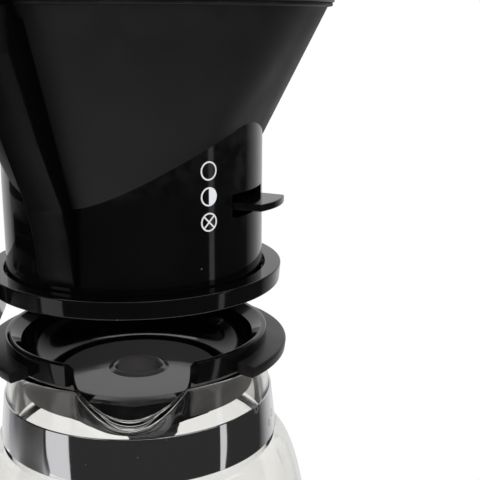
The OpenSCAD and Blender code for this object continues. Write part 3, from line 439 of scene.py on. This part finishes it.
def outline_edges(bm, points, upright=True):
    """Vertices and edges of a closed outline, standing in the XZ plane or lying in XY."""
    verts = [bm.verts.new((p.x, 0, p.y) if upright else (p.x, p.y, 0)) for p in points]
    edges = [bm.edges.new((verts[number - 1], vert)) for number, vert in enumerate(verts)]
    return verts, edges


def turned(bm, corners, steps=160, opening=0, arc_steps=4):
    """Adds a ring with the given section; an opening in degrees is left at the front."""
    verts, edges = outline_edges(bm, rounded_outline(corners, arc_steps))
    if opening == 0:
        bmesh.ops.spin(bm, geom=verts + edges, cent=(0, 0, 0), axis=(0, 0, 1),
                       angle=2 * math.pi, steps=steps, use_merge=True)
        return
    section = bm.faces.new(verts)
    start = math.radians(-90 + opening)
    bmesh.ops.rotate(bm, verts=verts, cent=(0, 0, 0), matrix=Matrix.Rotation(start, 3, "Z"))
    bmesh.ops.spin(bm, geom=verts + edges + [section], cent=(0, 0, 0), axis=(0, 0, 1),
                   angle=2 * math.pi - 2 * math.radians(opening), steps=steps)


# %% [markdown]
# ## Parts that only need softer edges
# The base, the tower, the covers and the arm have the right shape in CAD, but their edges are
# perfectly sharp, and no pressed or moulded part is. A merged copy of each mesh gets a Bevel
# modifier that rounds only the edges where two faces meet at a clear angle.

# %% Rounded copies
def rounded_copy(node, body, material, width, segments=3):
    bm = bmesh.new()
    bm.from_mesh(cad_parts[node].data)
    bmesh.ops.remove_doubles(bm, verts=bm.verts, dist=0.00002)
    bmesh.ops.dissolve_limit(bm, angle_limit=math.radians(0.6), verts=bm.verts, edges=bm.edges)
    piece = new_piece(node + "_rounded", bm, body, material, [node])
    bevel = piece.modifiers.new("soft edges", "BEVEL")
    bevel.width = width * MM
    bevel.segments = segments
    bevel.limit_method = "ANGLE"
    bevel.angle_limit = math.radians(38)
    bevel.use_clamp_overlap = False
    bevel.harden_normals = True
    return piece


ROUNDED = {
    "base_housing": ("machine", "brushed_metal", brushed_metal, 0.9),
    "bottom_cover": ("machine", "cover_sheet", cover_paint, 0.3),
    "hot_plate": ("machine", "hot_plate_coat", plate_coat, 0.7),
    "plate_ring": ("machine", "brushed_metal", brushed_metal, 0.3),
    "switch_bezel_1": ("machine", "black_satin", black_satin, 0.4),
    "switch_bezel_2": ("machine", "black_satin", black_satin, 0.4),
    "cable_gland": ("machine", "black_satin", black_satin, 0.6),
    "tower_shell": ("machine", "brushed_metal", brushed_metal, 0.3),
    "tower_cap": ("machine", "black_satin", black_satin, 0.8),
    "reservoir": ("machine", "tank_clear", tank_clear, 0.6),
    "reservoir_cover": ("machine", "black_satin", black_satin, 0.7),
    "basket_holder": ("machine", "holder_gloss", gloss_black, 0.55),
    "power_rocker": ("power_switch", "rocker_plastic", rocker_plastic, 0.35),
    "plate_rocker": ("plate_switch", "rocker_plastic", rocker_plastic, 0.35),
    "fill_flap": ("flap", "black_satin", black_satin, 0.5),
    "outlet_arm": ("outlet", "black_satin", black_satin, 0.4),
    "spray_head": ("outlet", "black_satin", black_satin, 0.4),
    "basket_outlet": ("basket", "holder_gloss", gloss_black, 0.4),
    "lever_bracket": ("basket", "holder_gloss", gloss_black, 0.3),
    "basket_lid": ("basket_cover", "black_satin", black_satin, 0.7),
    "drip_lever": ("lever", "holder_gloss", gloss_black, 0.5),
    "carafe_handle": ("carafe", "black_satin", black_satin, 1.6),
}
for node, (body, slot, material, width) in ROUNDED.items():
    rounded_copy(node, body, material, width)
for number in range(1, 5):
    rounded_copy(f"foot_{number}", "machine", foot_rubber, 0.5)

# %% [markdown]
# ## Parts that stay as they are
# Screws, pins, hoses, the heaters and the print are small or inside. Their CAD meshes are shown,
# with the right finish in their material slots.

# %% CAD nodes with a new finish
KEPT = {
    zinc_screw: ("cover_screws", "holder_screws", "handle_screw", "flap_pin", "lever_pin", "lid_pin"),
    heater_metal: ("plate_heater", "heater_coil"),
    thermostat_clay: ("plate_thermostat", "boiler_thermostat"),
    boiler_metal: ("boiler",),
    silicone: ("inlet_hose", "riser_hose"),
    valve_body: ("check_valve",),
    foot_rubber: ("reservoir_gasket",),
    tube_glass: ("riser_tube",),
    valve_grey: ("valve_plug",),
    mark_white: ("flow_marks",),
}
for material, nodes in KEPT.items():
    for node in nodes:
        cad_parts[node].data.materials.clear()
        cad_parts[node].data.materials.append(material)
print("kept", sum(len(nodes) for nodes in KEPT.values()), "CAD nodes")

# %% [markdown]
# ## The basket's cone
# A paper filter is round at the top and folded flat at the bottom, so the cone runs from a circle
# down to a slot. A ring of edges is extruded from station to station. At each station it takes the
# shape of two half circles that stand apart, and the last ring is bridged to the first one.

# %% Cone
CONE_TOP_R = 67.4
CONE_H = 89.0
SLOT_R = 15.5
SLOT_D = 20.3
CONE_WALL = 2.2
RIM_LIP = 1.0


def cone_station(height, inset=0.0):
    """Arc radius, distance apart and height of the cone's section."""
    share = height / CONE_H
    return (share * CONE_TOP_R + (1 - share) * SLOT_R - inset, (1 - share) * SLOT_D, height)


def sweep_ring(bm, stations, segments):
    """A closed tube of faces through rings of (arc radius, distance apart, height)."""
    angle = bm.verts.layers.float.new("angle")
    bmesh.ops.create_circle(bm, segments=segments, radius=1)
    for vert in bm.verts:
        vert[angle] = math.atan2(vert.co.y, vert.co.x) + math.pi / segments
    first = loop = bm.edges[:]
    ring = bm.verts[:]
    for number, (radius, apart, height) in enumerate(stations):
        if number:
            made = bmesh.ops.extrude_edge_only(bm, edges=loop)["geom"]
            ring = [part for part in made if isinstance(part, bmesh.types.BMVert)]
            loop = [part for part in made if isinstance(part, bmesh.types.BMEdge) and part.is_boundary]
        for vert in ring:
            side = math.copysign(apart, math.sin(vert[angle]))
            vert.co = (radius * math.cos(vert[angle]), radius * math.sin(vert[angle]) + side, height)
    bmesh.ops.bridge_loops(bm, edges=first + loop)


bm = bmesh.new()
rim_out = CONE_TOP_R + RIM_LIP
sweep_ring(bm, [
    (8.1, 0, 0), cone_station(0, 0.4), cone_station(0.4), cone_station(28), cone_station(57),
    cone_station(87.6), (rim_out - 0.2, 0, 87.9), (rim_out, 0, 88.1), (rim_out, 0, 88.7),
    (rim_out - 0.3, 0, 89), (CONE_TOP_R - 1.7, 0, 89), cone_station(88.5, CONE_WALL),
    cone_station(57, CONE_WALL), cone_station(28, CONE_WALL), cone_station(2.2, CONE_WALL), (8.1, 0, 2.2),
], 160)
cleaned(bm).transform(place(ring_top, BASKET_TURN))
new_piece("cone_shell", bm, "basket", cone_matte, ["basket_cone"])

# %% [markdown]
# ## The basket's skirt
# The skirt is a round tube that the cone sinks into, so its top edge is the curve where cone and
# tube meet. That height is found from the two formulas. A slot is left open for the lever, and
# solidify gives the wall.

# %% Skirt
SKIRT_R = 45.2
SKIRT_LOW = -4.2
SLOT_HALF_ANGLE = 15
SLOT_LOW = 20.9
SLOT_HIGH = 28.8


def seam_height(angle):
    """Height at which the cone's surface passes the skirt's radius, by halving."""
    low, high = 10.0, CONE_H
    for _ in range(24):
        middle = (low + high) / 2
        radius, apart, _ = cone_station(middle)
        beyond = max(0, abs(SKIRT_R * math.sin(angle)) - apart)
        if math.hypot(SKIRT_R * math.cos(angle), beyond) > radius:
            low = middle
        else:
            high = middle
    return low


bm = bmesh.new()
bmesh.ops.create_circle(bm, segments=180, radius=SKIRT_R)
bmesh.ops.translate(bm, verts=bm.verts, vec=(0, 0, SKIRT_LOW))
loop = bm.edges[:]
for height in (0, 8, 16, SLOT_LOW, SLOT_HIGH, None):
    made = bmesh.ops.extrude_edge_only(bm, edges=loop)["geom"]
    loop = [part for part in made if isinstance(part, bmesh.types.BMEdge) and part.is_boundary]
    for vert in (part for part in made if isinstance(part, bmesh.types.BMVert)):
        seam = seam_height(math.atan2(vert.co.y, vert.co.x)) + 0.35
        vert.co.z = seam if height is None else min(height, seam - 0.5)
slot_turn = math.radians(LEVER_TURN - BASKET_TURN - 90)
cut = []
for face in bm.faces:
    middle = face.calc_center_median()
    away = math.remainder(math.atan2(middle.y, middle.x) - slot_turn, 2 * math.pi)
    if abs(math.degrees(away)) < SLOT_HALF_ANGLE and SLOT_LOW < middle.z < SLOT_HIGH:
        cut.append(face)
bmesh.ops.delete(bm, geom=cut, context="FACES")
bmesh.ops.recalc_face_normals(bm, faces=bm.faces)
bmesh.ops.solidify(bm, geom=bm.faces[:], thickness=CONE_WALL)
cleaned(bm).transform(place(ring_top, BASKET_TURN))
new_piece("skirt_shell", bm, "basket", gloss_black, ["basket_skirt"])

# %% [markdown]
# ## The basket's handle
# The handle is a strap that climbs from the skirt's foot to the rim and thickens to a grip. Its
# outline in the upright plane is drawn once, pulled to the strap's width, and all its long edges
# are bevelled.

# %% Handle
GRIP_W = 13.6
bm = bmesh.new()
outline = rounded_outline([
    (SKIRT_R + 0.1, 2, 0), (46.9, 2, 0.5), (49.2, 18, 12), (51.4, 27, 10),
    (cone_station(48)[0] + 17.5, 48, 40),
    (71.6, 75, 4), (72.8, 88.5, 1), (68.6, 88.5, 0), (68.6, 84.5, 0), (64.8, 84, 0),
    (cone_station(28)[0] + 14.6, 28, 0), (SKIRT_R + 0.1, 26, 0),
])
verts, edges = outline_edges(bm, outline)
face = bm.faces.new(verts)
made = bmesh.ops.extrude_face_region(bm, geom=[face])["geom"]
bmesh.ops.translate(bm, verts=[part for part in made if isinstance(part, bmesh.types.BMVert)],
                    vec=(0, GRIP_W, 0))
bmesh.ops.translate(bm, verts=bm.verts, vec=(0, -GRIP_W / 2, 0))
bmesh.ops.recalc_face_normals(bm, faces=bm.faces)
sides = [face for face in bm.faces if abs(face.normal.y) > 0.9]
bmesh.ops.bevel(bm, geom=[edge for side in sides for edge in side.edges], offset=0.9, segments=3,
                profile=0.5, affect="EDGES", material=-1, clamp_overlap=True)
bmesh.ops.rotate(bm, verts=bm.verts, cent=(0, 0, 0), matrix=Matrix.Rotation(math.radians(-90), 3, "Z"))
cleaned(bm).transform(place(ring_top, BASKET_TURN))
new_piece("handle_strap", bm, "basket", handle_satin, ["basket_handle"])

# %% [markdown]
# ## The carafe's glass
# The jug is blown into a mould: a flat foot, a full belly, a shoulder and a straight neck. Its
# section, outer wall up and inner wall down, is spun once round. The spout is then pulled out of
# the neck by moving the vertices near the front, most at the rim and not at all below the band.

# %% Glass section
GLASS_H = 146.3
GLASS_WALL = 2.2
BELLY_R = 64.0
BELLY_Z = 54.0
FOOT_R = 62.0
CORNER_R = 12.0
NECK_Z = 114.0
NECK_FOOT_R = 50.2
NECK_R = 46.6


def glass_side(inset):
    """Points from the middle of the foot up to the neck, moved inwards by inset."""
    points = [Vector((0, inset)), Vector((20, inset)), Vector((40, inset))]
    for step in range(9):
        a = math.radians(-90 + 90 * step / 8)
        points.append(Vector((FOOT_R - CORNER_R + (CORNER_R - inset) * math.cos(a),
                              CORNER_R + (CORNER_R - inset) * math.sin(a))))
    for step in range(1, 7):
        z = CORNER_R + (BELLY_Z - CORNER_R) * step / 6
        bulge = ((BELLY_Z - z) / (BELLY_Z - CORNER_R)) ** 2
        points.append(Vector((BELLY_R - (BELLY_R - FOOT_R) * bulge - inset, z)))
    for step in range(1, 25):
        a = math.radians(90 * step / 24)
        points.append(Vector((NECK_FOOT_R + (BELLY_R - NECK_FOOT_R) * math.cos(a) - inset,
                              BELLY_Z + (NECK_Z - BELLY_Z - inset) * math.sin(a))))
    return points


def neck_radius(z):
    return NECK_FOOT_R + (NECK_R - NECK_FOOT_R) * (z - NECK_Z) / (GLASS_H - NECK_Z)


outer = glass_side(0)
inner = glass_side(GLASS_WALL)
rim_r = GLASS_WALL / 2
NECK_STEPS = 12
heights = [NECK_Z + (GLASS_H - rim_r - NECK_Z) * step / NECK_STEPS for step in range(1, NECK_STEPS + 1)]
outer += [Vector((neck_radius(z), z)) for z in heights]
inner += [Vector((neck_radius(z) - GLASS_WALL, z)) for z in heights]
rim = []
for step in range(1, 6):
    a = math.pi * step / 6
    rim.append(Vector((neck_radius(GLASS_H) - rim_r + rim_r * math.cos(a),
                       GLASS_H - rim_r + rim_r * math.sin(a))))
section = outer + rim + inner[::-1]
print("glass section", len(section), "points")

# %% Glass with its spout
SPOUT_HALF = 17.5
SPOUT_REACH = 8.8
SPOUT_DIP = 5.2
LIP_DIP = 3.4
SPOUT_FOOT = 132.2
bm = bmesh.new()
verts = [bm.verts.new((p.x, 0, p.y)) for p in section]
edges = [bm.edges.new(pair) for pair in zip(verts, verts[1:])]
bmesh.ops.spin(bm, geom=verts + edges, cent=(0, 0, 0), axis=(0, 0, 1), angle=2 * math.pi, steps=256,
               use_merge=True)
for vert in bm.verts:
    if vert.co.z > SPOUT_FOOT and vert.co.y < 0 and abs(vert.co.x) < SPOUT_HALF:
        sideways = 1 - (abs(vert.co.x) / SPOUT_HALF) ** 1.85
        climb = (vert.co.z - SPOUT_FOOT) / (GLASS_H - SPOUT_FOOT)
        pull = sideways * climb ** 1.3
        outside = (math.hypot(vert.co.x, vert.co.y) - neck_radius(vert.co.z)) / GLASS_WALL + 1
        vert.co.y -= SPOUT_REACH * pull
        vert.co.z -= (SPOUT_DIP + LIP_DIP * outside) * pull
cleaned(bm).transform(place(plate_top, CARAFE_TURN))
new_piece("glass_jug", bm, "carafe", carafe_clear, ["carafe_glass"], crease=60)

# %% Band round the neck
BAND_LOW = 116.4
BAND_HIGH = 132.0
BAND_IN = 0.1
BAND_OUT = 0.7
bm = bmesh.new()
turned(bm, [(neck_radius(BAND_LOW) + BAND_IN, BAND_LOW, 0),
            (neck_radius(BAND_LOW) + BAND_OUT, BAND_LOW, 0.25),
            (neck_radius(BAND_HIGH) + BAND_OUT, BAND_HIGH, 0.25),
            (neck_radius(BAND_HIGH) + BAND_IN, BAND_HIGH, 0)],
       steps=200)
cleaned(bm).transform(place(plate_top, CARAFE_TURN))
new_piece("steel_band", bm, "carafe", band_steel, ["carafe_band"])

# %% [markdown]
# ## The carafe's lid
# The lid is a dish that catches the drips and leads them through its hole. Its wall and flange are
# rings that stop short of the spout, so each is a section spun through less than a full turn. The
# floor is an outline with a shallow point over the spout, and a bead stands round the hole.

# %% Dish of the lid
DISH_R = 43.6
DISH_IN = 41.8
FLAT_R = 28.5
FLOOR_Z = 138.0
FLOOR_T = 1.5
LEDGE_Z = 147.4
LID_TOP = 155.1
DISH_GAP = 27
HOLE_R = 8.0
BOWL_R = DISH_IN - FLAT_R
BOWL_STEPS = 12


def bowl(radius, degrees):
    """Point of the curve that leads from the flat floor into the wall."""
    a = math.radians(degrees)
    return (FLAT_R + radius * math.sin(a), FLOOR_Z + BOWL_R - radius * math.cos(a), 0)


bm = bmesh.new()
inner = [bowl(BOWL_R, 90 * step / BOWL_STEPS) for step in range(BOWL_STEPS + 1)]
outer = [bowl(BOWL_R + FLOOR_T, 78 * step / BOWL_STEPS) for step in range(BOWL_STEPS + 1)]
turned(bm, outer + [(44.2, LEDGE_Z - 0.6, 0), (47, LEDGE_Z + 0.4, 0.3), (47, LID_TOP, 0.7),
                    (45.2, LID_TOP, 0.6), (DISH_IN, 152.1, 0)] + inner[::-1], opening=DISH_GAP)
turned(bm, [(HOLE_R, 130.5, 0.4), (HOLE_R + 1.5, 130.5, 0.4), (HOLE_R + 1.5, FLOOR_Z - 0.5, 0),
            (HOLE_R + 3, FLOOR_Z - 0.5, 0), (HOLE_R + 3, FLOOR_Z, 0), (HOLE_R + 1.2, FLOOR_Z + 0.8, 0.8),
            (HOLE_R, FLOOR_Z + 0.4, 0.8)], steps=96)
FLOOR_STEPS = 96
start = math.radians(-90 + DISH_GAP)
sweep = math.radians(360 - 2 * DISH_GAP)
floor_line = [Matrix.Rotation(start + sweep * step / FLOOR_STEPS, 2) @ Vector((FLAT_R + 0.1, 0))
              for step in range(FLOOR_STEPS + 1)]
floor_line += [Vector((-15.5, -26.6)), Vector((-15.9, -28.6)), Vector((0, -33.4)), Vector((15.9, -28.6)),
               Vector((15.5, -26.6))]
verts, edges = outline_edges(bm, floor_line, upright=False)
hole = bmesh.ops.create_circle(bm, segments=FLOOR_STEPS, radius=HOLE_R + 1)["verts"]
hole_edges = list({edge for vert in hole for edge in vert.link_edges})
made = bmesh.ops.triangle_fill(bm, edges=edges + hole_edges, use_beauty=True, use_dissolve=False)["geom"]
floor_faces = [part for part in made if isinstance(part, bmesh.types.BMFace)]
bmesh.ops.translate(bm, verts=list({vert for face in floor_faces for vert in face.verts}),
                    vec=(0, 0, FLOOR_Z - FLOOR_T))
made = bmesh.ops.extrude_face_region(bm, geom=floor_faces)["geom"]
bmesh.ops.translate(bm, verts=[part for part in made if isinstance(part, bmesh.types.BMVert)],
                    vec=(0, 0, FLOOR_T))
cleaned(bm).transform(place(plate_top, CARAFE_TURN))
new_piece("lid_dish", bm, "carafe_cover", dish_gloss, ["carafe_lid"])

# %% Plug and apron of the lid
PLUG_LOW = 134.4
bm = bmesh.new()
turned(bm, [(DISH_R - 3.2, PLUG_LOW, 0), (DISH_R - 2, PLUG_LOW, 0.3), (DISH_R, LEDGE_Z - 0.8, 0),
            (DISH_R - 1.2, LEDGE_Z - 0.8, 0)], opening=DISH_GAP)
cleaned(bm).transform(place(plate_top, CARAFE_TURN))
new_piece("lid_plug", bm, "carafe_cover", plug_satin, ["carafe_lid"])
APRON_H = 8
bm = bmesh.new()
front = [Vector(corner) for corner in ((-25, -21), (-15.5, -28.4), (0, -33.1), (15.5, -28.4), (25, -21))]
back = [Vector((p.x * 0.96, p.y + 1.2)) for p in front[::-1]]
verts, edges = outline_edges(bm, front + back, upright=False)
face = bm.faces.new(verts)
made = bmesh.ops.extrude_face_region(bm, geom=[face])["geom"]
bmesh.ops.translate(bm, verts=[part for part in made if isinstance(part, bmesh.types.BMVert)],
                    vec=(0, 0, APRON_H))
bmesh.ops.translate(bm, verts=bm.verts, vec=(0, 0, FLOOR_Z - FLOOR_T - APRON_H))
cleaned(bm).transform(place(plate_top, CARAFE_TURN))
new_piece("lid_apron", bm, "carafe_cover", handle_satin, ["carafe_lid"])

# %% Flange and hinge tongue of the lid
HINGE_Y = 60.3
HINGE_Z = 150.3
KNUCKLE_R = 3.4
TONGUE_W = 12.8
FLANGE_IN = 46.7
FLANGE_LOW = 146.9
FLANGE_TOP = 150.9
FLANGE_GAP = 48
bm = bmesh.new()
turned(bm, [(FLANGE_IN, FLANGE_LOW, 0), (53.8, FLANGE_LOW, 0.6), (54.3, FLANGE_TOP, 0.9),
            (FLANGE_IN, FLANGE_TOP, 0)], opening=FLANGE_GAP)
tongue = bmesh.ops.create_cube(bm, size=1, matrix=Matrix.Translation((0, 55.8, 148.9))
                               @ Matrix.Diagonal((TONGUE_W, 9, 4, 1)))["verts"]
bmesh.ops.bevel(bm, geom=list({edge for vert in tongue for edge in vert.link_edges}), offset=0.6,
                segments=3, profile=0.5, affect="EDGES", material=-1)
bmesh.ops.create_cone(bm, cap_ends=True, segments=48, radius1=KNUCKLE_R, radius2=KNUCKLE_R, depth=TONGUE_W,
                      matrix=Matrix.Translation((0, HINGE_Y, HINGE_Z))
                      @ Matrix.Rotation(math.pi / 2, 4, "Y"))
cleaned(bm).transform(place(plate_top, CARAFE_TURN))
new_piece("lid_flange", bm, "carafe_cover", flange_satin, ["carafe_lid"])

# %% [markdown]
# ## Studio
# The machine stands on a plain white disc in a plain white room. A big softbox hangs overhead and a
# strip softbox stands at each side of the viewer. The room is darker in reflections towards the
# viewer, so that gloss black stays black there and shows its shape at its sides.

# %% Room
world = bpy.data.worlds.new("studio")
bpy.context.scene.world = world
world.use_nodes = True
tree = world.node_tree
tree.nodes.clear()
ROOM_FRONT = 0.03
path = add(tree, "ShaderNodeLightPath")
where = add(tree, "ShaderNodeTexCoord")
apart = add(tree, "ShaderNodeSeparateXYZ", [("Vector", where.outputs["Generated"])])
lit = ranged(tree, apart.outputs["Y"], 0.4, 0.8, ROOM_FRONT, 0.75)
seen = add(tree, "ShaderNodeMath", [(0, path.outputs["Glossy Depth"]), (1, 0.5)], operation="GREATER_THAN")
room = add(tree, "ShaderNodeMix", [(0, seen.outputs[0]), (2, 1.0), (3, lit)], data_type="FLOAT")
shade = add(tree, "ShaderNodeBackground", [("Color", (1, 1, 1, 1)), ("Strength", room.outputs[0])])
add(tree, "ShaderNodeOutputWorld", [("Surface", shade.outputs[0])])

# %% Floor
FLOOR_R = 0.3
bm = bmesh.new()
bmesh.ops.create_circle(bm, cap_ends=True, segments=96, radius=FLOOR_R)
mesh = bpy.data.meshes.new("floor")
bm.to_mesh(mesh)
bm.free()
floor = bpy.data.objects.new("floor", mesh)
bpy.context.scene.collection.objects.link(floor)
floor_paint = bpy.data.materials.new("floor_paint")
floor_paint.use_nodes = True
tree = floor_paint.node_tree
tree.nodes.clear()
paper = add(tree, "ShaderNodeEmission", [("Color", (1, 1, 1, 1)), ("Strength", 1.0)])
add(tree, "ShaderNodeOutputMaterial", [("Surface", paper.outputs[0])])
mesh.materials.append(floor_paint)

# %% Soft lights
def softbox(name, location, aim, width, height, watts, color=(1, 1, 1)):
    light = bpy.data.lights.new(name, "AREA")
    light.shape = "RECTANGLE"
    light.size = width
    light.size_y = height
    light.energy = watts
    light.color = color
    holder = bpy.data.objects.new(name, light)
    holder.location = location
    holder.rotation_euler = (Vector(aim) - Vector(location)).to_track_quat("-Z", "Y").to_euler()
    holder.visible_camera = False
    bpy.context.scene.collection.objects.link(holder)


softbox("overhead", (0.1, 0.1, 1.5), (0.05, 0, 0), 1.6, 1.6, 14)
STRIP_H = 1.6
strip_aim = (0.08, 0, -0.1)
softbox("left_strip", (-1.125, -0.5, -0.1), strip_aim, 0.43, STRIP_H, 1.5)
softbox("right_strip", (1.29, -0.49, -0.1), strip_aim, 0.12, STRIP_H, 0.4)
